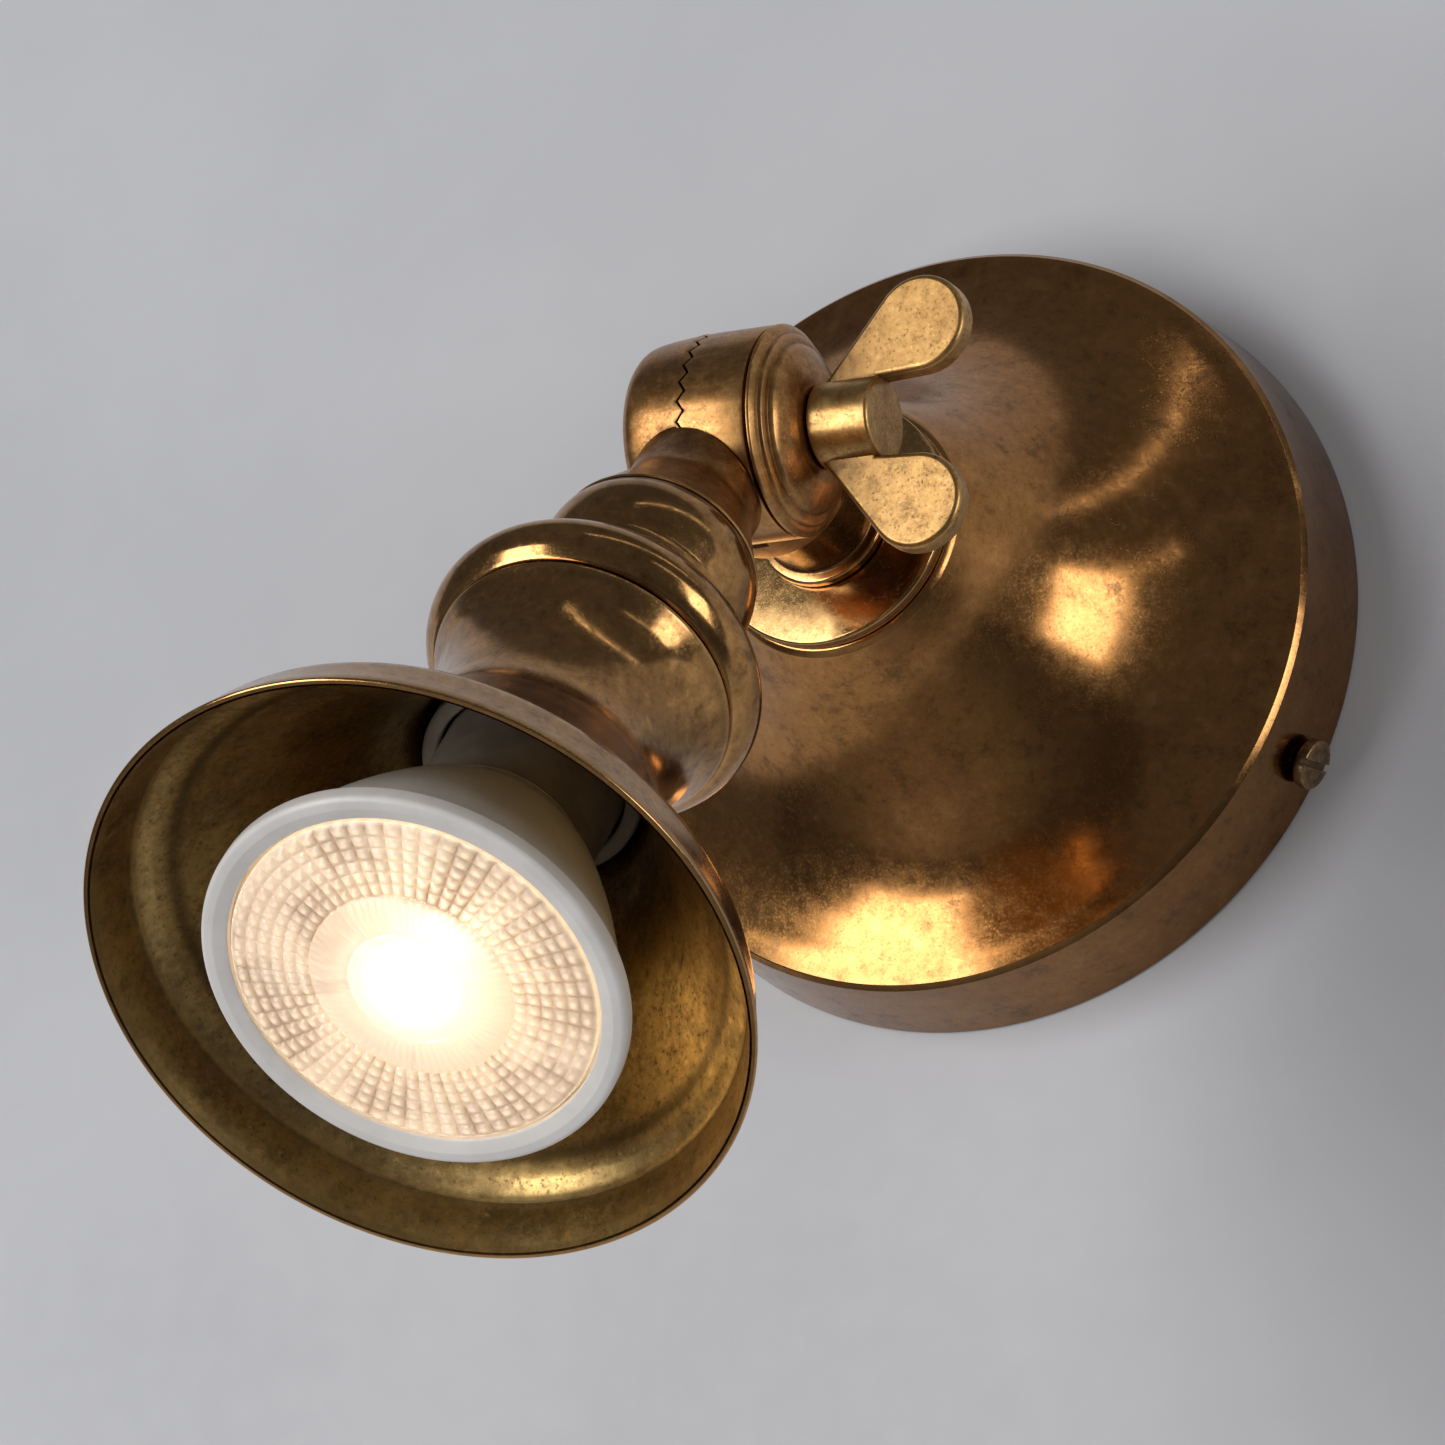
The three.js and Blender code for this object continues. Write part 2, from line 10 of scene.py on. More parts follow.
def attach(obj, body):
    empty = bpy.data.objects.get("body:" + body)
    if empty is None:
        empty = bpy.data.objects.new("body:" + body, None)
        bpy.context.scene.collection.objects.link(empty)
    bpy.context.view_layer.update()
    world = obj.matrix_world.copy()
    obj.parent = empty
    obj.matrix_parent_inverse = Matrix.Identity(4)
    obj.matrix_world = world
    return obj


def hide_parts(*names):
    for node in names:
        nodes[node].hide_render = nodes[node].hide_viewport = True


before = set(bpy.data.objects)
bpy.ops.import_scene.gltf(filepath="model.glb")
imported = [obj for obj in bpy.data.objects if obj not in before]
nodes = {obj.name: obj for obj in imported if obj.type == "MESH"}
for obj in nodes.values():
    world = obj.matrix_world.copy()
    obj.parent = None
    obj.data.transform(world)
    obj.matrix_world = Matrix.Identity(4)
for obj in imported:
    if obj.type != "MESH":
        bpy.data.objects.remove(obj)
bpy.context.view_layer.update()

MM = 0.001
FINE = 192  # flats round a turned piece
TEETH = 31
TOOTH_FLATS = TEETH * 12

# ---- frames, as the CAD part has them: local Y is the axis that a piece is turned about ----

KNUCKLE_CENTRE = Vector((0, -77.2, -0.3))
HEAD_START = Vector((0.8, -77.2, -0.3))
HEAD_BELOW = math.radians(53.9)
SCREW_TURN = math.radians(24.6)

ROSE = Matrix.Rotation(math.pi, 4, "X")
BRACKET = ROSE @ Matrix.Rotation(-SCREW_TURN, 4, "Y")
KNUCKLE = Matrix.Translation(KNUCKLE_CENTRE) @ Matrix.Rotation(-math.pi / 2, 4, "Z")
HEAD = Matrix.Translation(HEAD_START) @ Matrix.Rotation(math.pi + HEAD_BELOW, 4, "X")

# ---- driving dimensions, in millimetres ------------------------------------------------

SHEET = 1.2
SHADE_SHEET = 0.9
BARREL = 12.95
CAVITY = 10.3
SEAM = 0.8
TOOTH_RISE = 0.44
SEAM_GAP = 0.36
CAP_START = 9.45
NUT_START, NUT_END, NUT_RADIUS, NUT_TURN = 13.8, 21.9, 5.25, 4
WING_CENTRE, WING_RISE, WING_TIP, WING_THICK = 26.65, 11.2, 6.0, 3.2
LAMP_FRONT = 111.6
ROSE_RIM = 14.6  # how far the rose's upright rim stands out from the wall, and so how far the painted shade near the wall reaches
GROOVE_SHADOW_RADIUS = 32.5  # radius of the painted shadow line inside the shade, standing for a groove
SCREW_HEIGHT = 4.6  # of the side screws' axis, out from the wall
PIN_OFFSET = 5.0
HOLDER_SCREW_OFFSET = 8.2


# ---- outlines --------------------------------------------------------------------------

def corner(before, at, after, radius, steps=6):
    """The arc that rounds one corner of an outline."""
    a = (Vector(before) - Vector(at)).normalized()
    b = (Vector(after) - Vector(at)).normalized()
    half = a.angle(b) / 2
    if half > math.radians(86):
        return [tuple(at)]
    reach = min(radius / math.tan(half),
                0.48 * (Vector(before) - Vector(at)).length,
                0.48 * (Vector(after) - Vector(at)).length)
    size = reach * math.tan(half)
    centre = Vector(at) + (a + b).normalized() * (size / math.sin(half))
    start = Vector(at) + a * reach - centre
    end = Vector(at) + b * reach - centre
    turn = start.angle_signed(end)
    arc = []
    for i in range(steps + 1):
        angle = -turn * i / steps
        c, s = math.cos(angle), math.sin(angle)
        arc.append((centre.x + start.x * c - start.y * s, centre.y + start.x * s + start.y * c))
    return arc


def outline(points, loop=True):
    """An outline with each (radius, along, fillet) point rounded by its fillet."""
    made = []
    count = len(points)
    for i, point in enumerate(points):
        if len(point) == 2 or (not loop and i in (0, count - 1)):
            made.append(tuple(point[:2]))
        else:
            made += corner(points[i - 1][:2], point[:2], points[(i + 1) % count][:2], point[2])
    return made


def curve(points, steps=8):
    """A smooth line through the points."""
    p = [Vector(q) for q in points]
    made = []
    for i in range(len(p) - 1):
        before = p[max(i - 1, 0)]
        after = p[min(i + 2, len(p) - 1)]
        for k in range(steps):
            t = k / steps
            q = 0.5 * (2 * p[i] + (p[i + 1] - before) * t
                       + (2 * before - 5 * p[i] + 4 * p[i + 1] - after) * t * t
                       + (3 * p[i] - before - 3 * p[i + 1] + after) * t ** 3)
            made.append(tuple(q))
    made.append(tuple(p[-1]))
    return made


def inset(line, sheet):
    """The line moved inwards by a sheet's thickness, in reverse, to close a spun sheet's outline."""
    made = []
    for i, (r, y) in enumerate(line):
        r0, y0 = line[max(i - 1, 0)]
        r1, y1 = line[min(i + 1, len(line) - 1)]
        length = math.hypot(r1 - r0, y1 - y0)
        made.append((max(r - sheet * (y1 - y0) / length, 0.01), y + sheet * (r1 - r0) / length))
    return made[::-1]


# ---- meshes ----------------------------------------------------------------------------

def new_object(name, verts, faces):
    mesh = bpy.data.meshes.new(name)
    mesh.from_pydata(verts, [], faces)
    mesh.validate()
    made = bpy.data.objects.new(name, mesh)
    bpy.context.scene.collection.objects.link(made)
    return made


def turned(name, place, points, flats=FINE, shape=None):
    """Turns an outline about the local Y axis of place. shape(radius, along, angle) may move each point."""
    on_axis = points[0][0] < 1e-6 and points[-1][0] < 1e-6
    verts = []
    rings = []
    for r, y in points:
        if r < 1e-6:
            rings.append([len(verts)])
            verts.append((0, y, 0))
            continue
        rings.append(list(range(len(verts), len(verts) + flats)))
        for k in range(flats):
            angle = 2 * math.pi * k / flats
            rr, yy = shape(r, y, angle) if shape else (r, y)
            verts.append((rr * math.cos(angle), yy, -rr * math.sin(angle)))
    faces = []
    pairs = list(zip(rings, rings[1:]))
    if not on_axis:
        pairs.append((rings[-1], rings[0]))
    for low, high in pairs:
        for k in range(flats):
            n = (k + 1) % flats
            if len(low) == 1 and len(high) > 1:
                faces.append((low[0], high[n], high[k]))
            elif len(high) == 1 and len(low) > 1:
                faces.append((low[k], low[n], high[0]))
            elif len(low) > 1:
                faces.append((low[k], low[n], high[n], high[k]))
    made = new_object(name, verts, faces)
    made.data.transform(Matrix.Scale(MM, 4) @ place)
    tidy_normals(made)
    return made


def tidy_normals(made):
    bm = bmesh.new()
    bm.from_mesh(made.data)
    bmesh.ops.remove_doubles(bm, verts=bm.verts, dist=1e-7)
    bmesh.ops.recalc_face_normals(bm, faces=bm.faces)
    bm.to_mesh(made.data)
    bm.free()


def rod(place, radius, start, end, flats=96, shift=(0, 0, 0)):
    return turned("tool", place @ Matrix.Translation(Vector(shift)),
                  [(0, start), (radius, start), (radius, end), (0, end)], flats)


def block(place, low, high):
    verts = [(x, y, z) for x in (low[0], high[0]) for y in (low[1], high[1]) for z in (low[2], high[2])]
    faces = [(0, 1, 3, 2), (4, 6, 7, 5), (0, 4, 5, 1), (2, 3, 7, 6), (0, 2, 6, 4), (1, 5, 7, 3)]
    made = new_object("tool", verts, faces)
    made.data.transform(Matrix.Scale(MM, 4) @ place)
    tidy_normals(made)
    return made


def apply_modifiers(made):
    depsgraph = bpy.context.evaluated_depsgraph_get()
    mesh = bpy.data.meshes.new_from_object(made.evaluated_get(depsgraph))
    made.modifiers.clear()
    made.data = mesh


def combine(base, add=(), cut=()):
    """Joins and cuts whole bodies, and uses the tools up."""
    for operation, tools in (("UNION", add), ("DIFFERENCE", cut)):
        for tool in tools:
            step = base.modifiers.new("step", "BOOLEAN")
            step.operation = operation
            step.solver = "EXACT"
            step.object = tool
            apply_modifiers(base)
            bpy.data.objects.remove(tool)
    return base


def soften(made, width, segments=3, angle=32):
    """A small rounding on every edge sharper than the angle."""
    bevel = made.modifiers.new("bevel", "BEVEL")
    bevel.width = width * MM
    bevel.segments = segments
    bevel.limit_method = "ANGLE"
    bevel.angle_limit = math.radians(angle)
    bevel.use_clamp_overlap = True
    apply_modifiers(made)
    return made


def mark_edges(made, reach):
    """Stores how near each point is to a worn outer edge, and to an inner corner that gets grime and painted
    shade.
    """
    mesh = made.data
    bm = bmesh.new()
    bm.from_mesh(mesh)
    bm.verts.ensure_lookup_table()
    bend = [0.0] * len(bm.verts)
    for edge in bm.edges:
        if len(edge.link_faces) != 2:
            continue
        turn = edge.calc_face_angle_signed(0.0)
        width = sum(f.calc_area() for f in edge.link_faces) / (2 * max(edge.calc_length(), 1e-7))
        amount = turn / max(width / MM, 0.12)
        for v in edge.verts:
            if abs(amount) > abs(bend[v.index]):
                bend[v.index] = amount
    for name, sign, soft in (("wear", 1, 1.0), ("grime_and_crease_shade", -1, 0.8)):
        marked = [i for i, b in enumerate(bend) if sign * b > 0.35]
        values = [0.0] * len(bm.verts)
        if marked:
            tree = kdtree.KDTree(len(marked))
            for i in marked:
                tree.insert(bm.verts[i].co, i)
            tree.balance()
            for v in bm.verts:
                _, i, away = tree.find(v.co)
                strength = min(sign * bend[i] * soft / 1.6, 1)
                values[v.index] = strength * math.exp(-(away / (reach * MM)) ** 2)
        layer = mesh.attributes.new(name, "FLOAT", "POINT")
        layer.data.foreach_set("value", values)
    bm.free()


def finish_piece(made, name, body, look, stands_for=(), angle=34, edges=True, reach=0.4):
    """Shades, paints and hangs one piece on its body."""
    made.name = name
    made.data.name = name
    made.data.polygons.foreach_set("use_smooth", [True] * len(made.data.polygons))
    made.data.set_sharp_from_angle(angle=math.radians(angle))
    if edges:
        mark_edges(made, reach)
    for material in (look if isinstance(look, (list, tuple)) else [look]):
        made.data.materials.append(material)
    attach(made, body)
    if stands_for:
        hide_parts(*stands_for)
    return made


# ---- materials -------------------------------------------------------------------------

class Look:
    """One node material under construction."""

    def __init__(self, name):
        self.material = bpy.data.materials.new(name)
        self.material.use_nodes = True
        self.tree = self.material.node_tree
        self.shader = self.tree.nodes["Principled BSDF"]
        self.place = self.add("ShaderNodeTexCoord").outputs["Object"]

    def add(self, kind, **values):
        node = self.tree.nodes.new(kind)
        for key, value in values.items():
            setattr(node, key, value)
        return node

    def link(self, source, target):
        self.tree.links.new(source, target)

    def set(self, **values):
        for key, value in values.items():
            self.shader.inputs[key.replace("_", " ")].default_value = value

    def noise(self, size, detail=3.0, rough=0.55, stretch=None):
        """Noise whose features are about size millimetres across."""
        place = self.place
        if stretch:
            mapping = self.add("ShaderNodeMapping")
            mapping.inputs["Scale"].default_value = stretch
            self.link(place, mapping.inputs["Vector"])
            place = mapping.outputs["Vector"]
        node = self.add("ShaderNodeTexNoise")
        node.inputs["Scale"].default_value = 1000 / size
        node.inputs["Detail"].default_value = detail
        node.inputs["Roughness"].default_value = rough
        self.link(place, node.inputs["Vector"])
        return node.outputs["Fac"]

    def cells(self, size):
        node = self.add("ShaderNodeTexVoronoi")
        node.inputs["Scale"].default_value = 1000 / size
        self.link(self.place, node.inputs["Vector"])
        return node.outputs["Distance"]

    def attribute(self, name):
        return self.add("ShaderNodeAttribute", attribute_name=name).outputs["Fac"]

    def remap(self, value, low, high, to_low=0.0, to_high=1.0, smooth=True):
        node = self.add("ShaderNodeMapRange")
        node.interpolation_type = "SMOOTHSTEP" if smooth else "LINEAR"
        for key, number in (("From Min", low), ("From Max", high), ("To Min", to_low), ("To Max", to_high)):
            node.inputs[key].default_value = number
        self.link(value, node.inputs["Value"])
        return node.outputs["Result"]

    def math(self, operation, a, b):
        node = self.add("ShaderNodeMath", operation=operation)
        for socket, value in zip(node.inputs, (a, b)):
            if isinstance(value, (int, float)):
                socket.default_value = value
            else:
                self.link(value, socket)
        return node.outputs[0]

    def mix(self, factor, a, b):
        node = self.add("ShaderNodeMix", data_type="RGBA", blend_type="MIX")
        for index, value in ((0, factor), (6, a), (7, b)):
            socket = node.inputs[index]
            if isinstance(value, (int, float)):
                socket.default_value = value
            elif isinstance(value, (tuple, list)):
                socket.default_value = (*value, 1)
            else:
                self.link(value, socket)
        return node.outputs[2]

    def bump(self, height, distance, strength=1.0, under=None):
        node = self.add("ShaderNodeBump")
        node.inputs["Distance"].default_value = distance * MM
        node.inputs["Strength"].default_value = strength
        self.link(height, node.inputs["Height"])
        if under:
            self.link(under, node.inputs["Normal"])
        return node.outputs["Normal"]

    def wire(self, color=None, rough=None, normal=None):
        for value, key in ((color, "Base Color"), (rough, "Roughness"), (normal, "Normal")):
            if value is not None:
                self.link(value, self.shader.inputs[key])
        return self.material


def antique_brass(name, body, patina, bright, dark, rough=(0.17, 0.3), speckle=0.5, patches=11.0, flecks=0.35,
                  band=None, ring=None):
    """Bronzed brass: soft patches of patina, fine mottling, speckle, bright rubbed edges, and inner corners
    darkened with grime and painted shade.

    band is how far out from the wall a painted shade reaches, and ring is the radius of a painted dark line
    that stands for a groove's shadow, both in millimetres.
    """
    look = Look(name)
    broad = look.remap(look.noise(patches, 3, 0.5), 0.25, 0.75)
    middle = look.noise(patches / 5, 5, 0.68)
    grain = look.noise(1.1, 6, 0.78)
    fine = look.noise(flecks, 3, 0.6)
    color = look.mix(broad, body, patina)
    color = look.mix(look.math("MULTIPLY", look.remap(middle, 0.48, 0.74), 0.42), color, bright)
    color = look.mix(look.math("MULTIPLY", look.remap(middle, 0.5, 0.28), 0.55), color, dark)
    color = look.mix(look.math("MULTIPLY", look.remap(grain, 0.52, 0.72), speckle * 0.8), color, bright)
    color = look.mix(look.math("MULTIPLY", look.remap(grain, 0.48, 0.3), speckle * 0.8), color, dark)
    color = look.mix(look.math("MULTIPLY", look.remap(fine, 0.42, 0.3), speckle), color, dark)
    color = look.mix(look.math("MULTIPLY", look.remap(fine, 0.6, 0.72), speckle * 0.7), color, bright)
    # Painted shade: within band of the wall the colour is darkened halfway.
    if band:
        split = look.add("ShaderNodeSeparateXYZ")
        look.link(look.place, split.inputs["Vector"])
        wall_shade = look.remap(split.outputs["Y"], -(band + 0.8) * MM, -(band - 0.8) * MM, 0.0, 0.5)
        color = look.mix(wall_shade, color, dark)
    # Painted shadow: a dark line at radius ring from the axis, for a groove's shadow.
    if ring:
        away = look.attribute("from_axis")
        inner = look.remap(away, ring - 1.1, ring, 0.0, 1.0)
        outer = look.remap(away, ring + 0.2, ring + 1.1, 1.0, 0.0)
        color = look.mix(look.math("MULTIPLY", look.math("MULTIPLY", inner, outer), 0.72), color, dark)
    ragged = look.remap(look.noise(1.6, 4, 0.7), 0.3, 0.62, 0.35, 1.0)
    wear = look.math("MULTIPLY", look.attribute("wear"), ragged)
    color = look.mix(look.math("MULTIPLY", wear, 0.6), color, bright)
    # Inner corners darkened: grime, and painted shade where shade falls.
    grime_and_crease_shade = look.math("MULTIPLY", look.attribute("grime_and_crease_shade"), ragged)
    color = look.mix(look.math("MULTIPLY", grime_and_crease_shade, 0.75), color, dark)
    roughness = look.remap(look.noise(2.0, 5, 0.7), 0.3, 0.7, rough[0], rough[1], smooth=False)
    roughness = look.math("ADD", roughness, look.math("MULTIPLY", look.remap(fine, 0.5, 0.35), 0.08))
    roughness = look.math("ADD", roughness, look.math("MULTIPLY", look.remap(middle, 0.5, 0.3), 0.09))
    roughness = look.math("ADD", roughness, look.math("MULTIPLY", grime_and_crease_shade, 0.15))
    normal = look.bump(fine, 0.004, 0.4)
    normal = look.bump(look.noise(9, 2, 0.5), 0.02, 0.2, normal)
    look.set(Metallic=1.0, Coat_Weight=0.12, Coat_Roughness=0.14)
    return look.wire(color, roughness, normal)


def moulded(name, color, shade, rough):
    """Moulded plastic or fired clay with a faint grain."""
    look = Look(name)
    tone = look.mix(look.remap(look.noise(6, 4), 0.35, 0.7), color, shade)
    fine = look.remap(look.noise(0.5, 3), 0.3, 0.7, rough - 0.06, rough + 0.08, smooth=False)
    # Creases darkened: grime, and painted shade where shade falls.
    tone = look.mix(look.math("MULTIPLY", look.attribute("grime_and_crease_shade"), 0.5), tone, shade)
    look.set(Metallic=0.0)
    return look.wire(tone, fine, look.bump(look.noise(0.35, 3), 0.006, 0.4))


def plated(name, color, rough):
    """Bright plated or turned metal with fine drawn lines."""
    look = Look(name)
    lines = look.noise(0.4, 4, 0.7, stretch=(1, 6, 1))
    tone = look.mix(look.remap(look.noise(3, 4), 0.35, 0.7), color, tuple(c * 0.72 for c in color))
    rubbed = tuple(min(c * 1.3, 1) for c in color)
    tone = look.mix(look.math("MULTIPLY", look.attribute("wear"), 0.4), tone, rubbed)
    roughness = look.remap(lines, 0.3, 0.7, rough - 0.07, rough + 0.1, smooth=False)
    look.set(Metallic=1.0)
    return look.wire(tone, roughness, look.bump(lines, 0.004, 0.5))


DEEP = (0.10, 0.05, 0.018)

aged = antique_brass("aged_brass", (0.45, 0.235, 0.080), (0.32, 0.165, 0.056), (0.74, 0.42, 0.155), DEEP,
                     rough=(0.09, 0.17), speckle=0.3)
barrel_look = antique_brass("barrel_brass", (0.43, 0.205, 0.066), (0.30, 0.138, 0.043), (0.78, 0.44, 0.155),
                            DEEP, rough=(0.23, 0.35), speckle=0.65, patches=10)
# The rose's rim near the wall gets painted shade.
rose_look = antique_brass("rose_brass", (0.46, 0.215, 0.066), (0.36, 0.16, 0.047), (0.68, 0.35, 0.12), DEEP,
                          rough=(0.12, 0.21), speckle=0.36, patches=22, band=ROSE_RIM)
worn = antique_brass("rubbed_brass", (0.45, 0.245, 0.078), (0.32, 0.158, 0.048), (0.72, 0.43, 0.155),
                     (0.085, 0.04, 0.014), rough=(0.26, 0.40), speckle=1.0, patches=12, flecks=0.4)
collar_look = antique_brass("collar_brass", (0.30, 0.165, 0.062), (0.22, 0.118, 0.043), (0.66, 0.41, 0.16),
                            DEEP, rough=(0.1, 0.18), speckle=0.5, patches=6)
# The side screws' heads are darker than the other brass.
screw_look = antique_brass("screw_dark_brass", (0.19, 0.11, 0.052), (0.13, 0.075, 0.036), (0.46, 0.29, 0.14),
                           (0.04, 0.022, 0.01), rough=(0.24, 0.38), speckle=0.5, patches=4)
# Olive patina inside the shade, painted lighter than the outside brass as painted light from the lamp.
inside_look = antique_brass("shade_inside_patina_lamplit", (0.62, 0.41, 0.145), (0.33, 0.215, 0.085),
                            (0.86, 0.60, 0.24), (0.10, 0.062, 0.025), rough=(0.26, 0.40), speckle=0.65,
                            patches=7, flecks=0.6, ring=GROOVE_SHADOW_RADIUS)
bright_brass = plated("turned_brass", (0.78, 0.56, 0.26), 0.3)
zinc = plated("zinc_plate", (0.56, 0.56, 0.55), 0.32)
lamp_white = moulded("lamp_white", (0.86, 0.835, 0.80), (0.78, 0.755, 0.72), 0.36)
# The lamp's white plastic darkened as painted shade for the lamp cap deep in the shade's throat.
lamp_white_shaded = moulded("lamp_cap_painted_shade", (0.42, 0.375, 0.32), (0.30, 0.265, 0.22), 0.42)
# Steatite darkened as painted shade, for the lampholder in the shade's throat.
steatite = moulded("steatite", (0.46, 0.40, 0.32), (0.32, 0.275, 0.21), 0.6)
block_plastic = moulded("block_plastic", (0.84, 0.82, 0.76), (0.70, 0.67, 0.60), 0.45)
sheath = moulded("flex_sheath", (0.05, 0.046, 0.042), (0.028, 0.026, 0.024), 0.6)
earth_sleeve = moulded("earth_sleeve", (0.28, 0.44, 0.10), (0.62, 0.58, 0.09), 0.5)


def lens_plastic():
    """Clear plastic with the lamp's glow: white in the middle, peach outside, darker between the facets."""
    look = Look("lens_plastic")
    look.shader.inputs["Transmission Weight"].default_value = 0.45
    look.set(IOR=1.45)
    away = look.attribute("from_axis")
    facet = look.attribute("facet")
    uneven = look.remap(look.noise(8.0, 4, 0.6), 0.38, 0.62)
    glow = look.math("ADD", look.remap(away, 2.4, 6.0, 1.2, 0.0), look.remap(away, 7.2, 12.0, 0.35, 0.22))
    glow = look.math("MULTIPLY", glow, look.remap(away, 13.0, 22.0, 1.0, 0.8))
    pits = look.math("MULTIPLY", look.math("SUBTRACT", 1.0, facet), look.remap(uneven, 0.0, 1.0, 0.12, 1.0))
    glow = look.math("MULTIPLY", glow, look.math("SUBTRACT", 1.0, look.math("MULTIPLY", pits, 0.95)))
    crests = look.math("MULTIPLY", look.remap(facet, 0.75, 1.0), look.remap(away, 11.8, 12.4, 0.0, 0.22))
    glow = look.math("ADD", glow, crests)
    tint = look.mix(look.remap(away, 5.0, 9.5), (1.0, 0.93, 0.80), (1.0, 0.72, 0.44))
    tint = look.mix(look.math("MULTIPLY", pits, 0.8), tint, (0.72, 0.46, 0.26))
    look.link(tint, look.shader.inputs["Emission Color"])
    look.link(glow, look.shader.inputs["Emission Strength"])
    base = look.mix(pits, (1.0, 0.93, 0.84), (0.62, 0.50, 0.38))
    fine = look.remap(look.noise(0.8, 3), 0.3, 0.7, 0.06, 0.18, smooth=False)
    return look.wire(base, fine, look.bump(look.noise(1.2, 3), 0.01, 0.3))


def glowing(name, centre, edge, strength_centre, strength_edge, reach):
    """A lit surface whose glow fades outwards from its middle."""
    look = Look(name)
    away = look.attribute("from_axis")
    fade = look.remap(away, reach[0], reach[1])
    cells = look.remap(look.cells(1.4), 0.1, 0.5, 0.82, 1.0)
    tint = look.mix(fade, centre, edge)
    look.link(tint, look.shader.inputs["Emission Color"])
    power = look.remap(away, reach[0], reach[1], strength_centre, strength_edge)
    look.link(look.math("MULTIPLY", power, cells), look.shader.inputs["Emission Strength"])
    base = look.mix(fade, centre, (0.86, 0.84, 0.80))
    return look.wire(base, look.remap(look.noise(1.5), 0.3, 0.7, 0.4, 0.6))


lens_look = lens_plastic()
board_look = glowing("lit_board", (1.0, 0.80, 0.52), (1.0, 0.66, 0.40), 0.6, 0.2, (6.0, 18.0))
emitter_look = glowing("lit_emitter", (1.0, 0.93, 0.80), (1.0, 0.84, 0.58), 3.6, 1.2, (0.0, 6.5))


def store_from_axis(made, place):
    """Stores each point's distance from the local Y axis, in millimetres."""
    back = (Matrix.Scale(MM, 4) @ place).inverted()
    layer = made.data.attributes.new("from_axis", "FLOAT", "POINT")
    for i, v in enumerate(made.data.vertices):
        p = back @ v.co
        layer.data[i].value = math.hypot(p.x, p.z)


# ---- wall rose -------------------------------------------------------------------------

bell_line = (
    outline([(51.2, 0), (50.1, 13.8), (49.5, 14.55, 0.35), (48.2, 14.95)], loop=False)
    + curve([(48.2, 14.95), (45.5, 15.9), (40, 18.4), (34.5, 22), (29.5, 26.6), (25, 32), (21.4, 37.6),
             (18.6, 42.8), (16.9, 45.9)], 8)[1:]
    + outline([(16.9, 45.9), (16.2, 46.5, 0.5), (5.2, 46.5)], loop=False)[1:]
)
bell = turned("rose_spinning", ROSE, bell_line + inset(bell_line, SHEET), 256)


def screw_frame(turn):
    """The frame of a side screw: its local Y runs outwards along the screw."""
    height = Matrix.Translation((0, SCREW_HEIGHT, 0))
    return BRACKET @ Matrix.Rotation(turn, 4, "Y") @ height @ Matrix.Rotation(-math.pi / 2, 4, "Z")


screw_holes = [rod(screw_frame(turn), 2.3, 46, 56, 48) for turn in (0, math.pi)]
combine(bell, cut=screw_holes)
finish_piece(bell, "rose_spinning", "wall_fixing", rose_look, ["rose_bell"], reach=0.3)

collar = turned("collar_disc", ROSE, outline([
    (5.1, 46.8), (16.2, 46.8, 0.3), (16.2, 48.7, 0.45), (5.1, 48.7)]))
finish_piece(collar, "collar_disc", "wall_fixing", collar_look, ["rose_collar"])

stem = turned("stem_turning", ROSE, outline([
    (5.1, 49.0), (8.8, 49.0, 0.15), (8.8, 50.3, 0.45), (7.4, 50.5, 0.4), (7.4, 61.7), (3.4, 61.7),
    (3.4, 57.9), (5.1, 57.9)]))
finish_piece(stem, "stem_turning", "wall_fixing", aged, ["stem_tube"])

for side, turn in (("right", 0), ("left", math.pi)):
    axis = screw_frame(turn)
    screw = turned("screw", axis, outline([
        (0, 41.4), (1.5, 41.4, 0.3), (1.8, 41.9), (1.8, 51.7), (3.2, 51.7, 0.1), (3.2, 53.1, 0.35),
        (2.2, 53.3), (0, 53.35)], loop=False), 96)
    slot = block(axis @ Matrix.Rotation(math.radians(12), 4, "Y"), (-4, 52.5, -0.45), (4, 55, 0.45))
    soften(combine(screw, cut=[slot]), 0.08, 2)
    finish_piece(screw, f"side_screw_head_{side}", "wall_fixing", screw_look,
                 [f"side_screw_{side}"])

# ---- knuckle ---------------------------------------------------------------------------


def toothed(side):
    """Moves a barrel's seam face into radial teeth; side is which way the gap opens."""
    def shape(r, y, angle):
        if abs(y - SEAM) > 0.02:
            return r, y
        phase = (angle * TEETH / (2 * math.pi)) % 1
        wave = 1 - 4 * abs(phase - 0.5)
        return r, y + side * SEAM_GAP / 2 + TOOTH_RISE * wave * r / BARREL
    return shape


base = turned("knuckle_fixed_half", KNUCKLE, [
    (0, SEAM), (BARREL - 0.06, SEAM), (BARREL, 1.6), (BARREL, 8.7), (BARREL - 0.1, 9.05),
    (BARREL - 0.4, 9.15), (0, 9.15)], TOOTH_FLATS, toothed(1))
boss = turned("boss", ROSE, outline([
    (0, 62.0), (10, 62.0, 0.55), (10, 70), (10, 74), (0, 74)], loop=False), 128)
boss_side = rod(KNUCKLE, BARREL + 2, -18, SEAM + 0.6, 128)
cap_side = rod(KNUCKLE, BARREL + 2, 9.2, 30, 128)
combine(boss, cut=[boss_side, cap_side])
combine(base, add=[boss], cut=[rod(KNUCKLE, CAVITY, -1, 7.2), rod(KNUCKLE, 2.7, 6, 12),
                               rod(ROSE, 4, 60, 69, 64, (1.6, 0, 0))])
finish_piece(base, "knuckle_fixed_half", "wall_fixing", barrel_look, ["knuckle_base"], angle=26)

